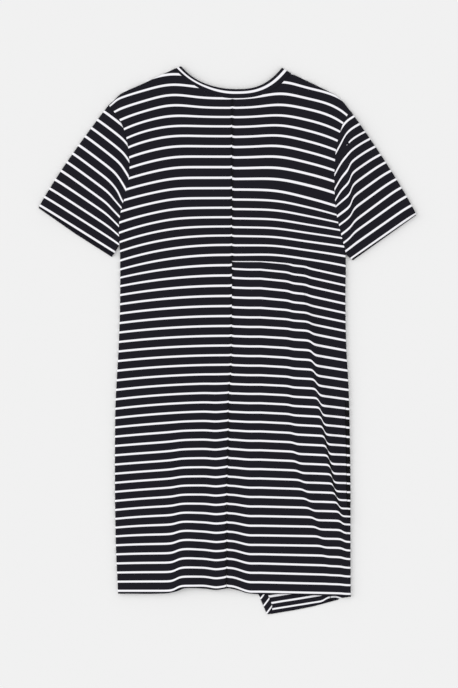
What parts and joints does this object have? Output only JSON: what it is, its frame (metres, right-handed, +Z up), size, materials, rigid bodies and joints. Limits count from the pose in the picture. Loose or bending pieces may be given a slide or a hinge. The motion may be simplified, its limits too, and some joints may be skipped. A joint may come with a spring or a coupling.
{
  "type": "mini dress",
  "caption": "Short-sleeved T-shirt mini dress in striped jersey, laid flat with its back up, with a round neckband, a centre back seam, a half waist seam and one low front corner.",
  "frame": {"origin": "under the middle of the laid dress's outline, on the surface it lies on", "axes": "+X across the dress to the viewer's right, +Y from the hem to the neck, +Z up from the surface"},
  "size_m": [0.641, 0.9326, 0.0094],
  "materials": {
    "jersey": "matt black jersey with narrow white stripes",
    "band": "matt black jersey band with one white stripe"
  },
  "bodies": {
    "root": {"front": "jersey", "front_corner_hem": "jersey", "back_left": "jersey", "back_right_lower": "jersey", "back_right_upper": "jersey", "sleeve_left": "jersey", "sleeve_right": "jersey", "neckband": "band"}
  },
  "joints": []
}
